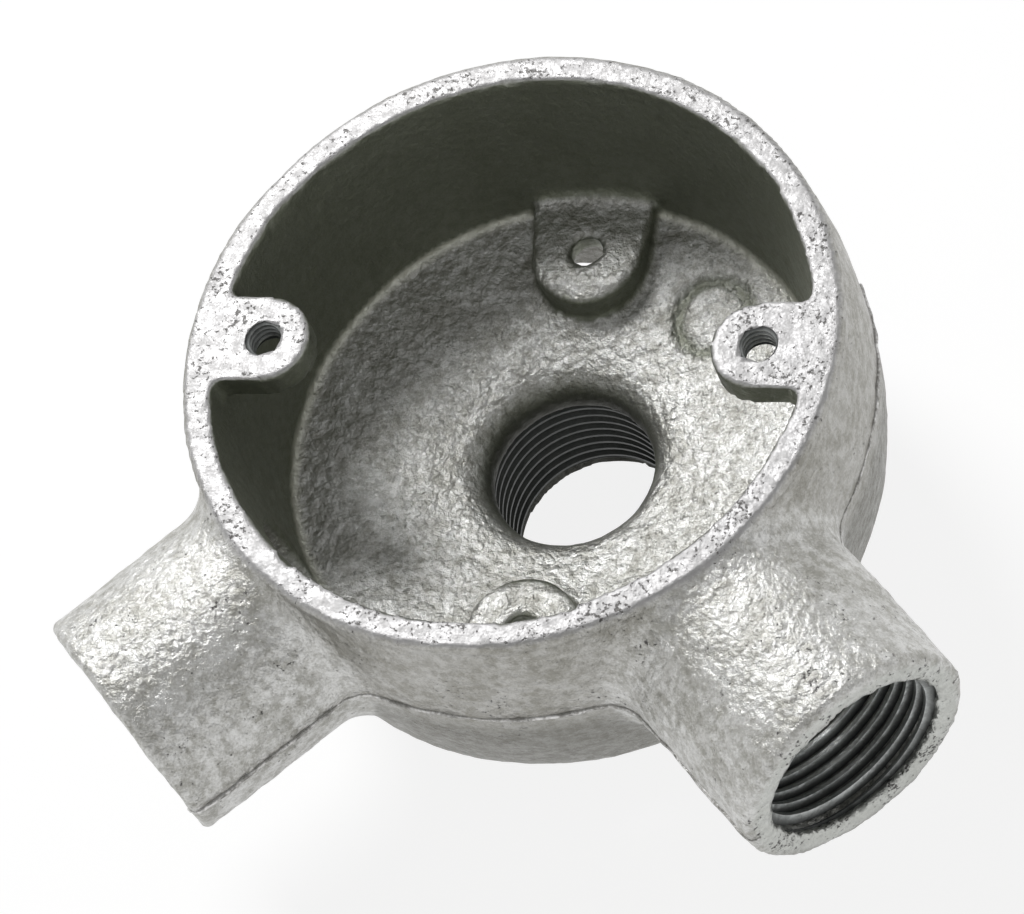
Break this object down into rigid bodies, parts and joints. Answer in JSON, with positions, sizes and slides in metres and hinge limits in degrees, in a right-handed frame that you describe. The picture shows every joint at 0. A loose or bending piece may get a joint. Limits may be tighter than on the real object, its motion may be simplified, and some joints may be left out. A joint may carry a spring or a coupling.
{
  "type": "back-outlet angle conduit box",
  "caption": "Round cast-iron conduit box with two threaded side outlets at a right angle, a threaded back outlet and an open mouth with cover-screw lugs.",
  "frame": {"origin": "centre of the rim face, half way between the two cover-screw holes", "axes": "+Z out of the open mouth along the box axis; X through the two cover-screw lugs; the side outlets leave towards -Y, 45 degrees to either side of it"},
  "size_m": [0.0916, 0.0803, 0.044],
  "materials": {
    "galvanised_iron": "hot-dip galvanised malleable iron, sandy cast skin, dull silver-grey with darker pits"
  },
  "bodies": {
    "root": {"conduit_body": "galvanised_iron"}
  },
  "joints": []
}
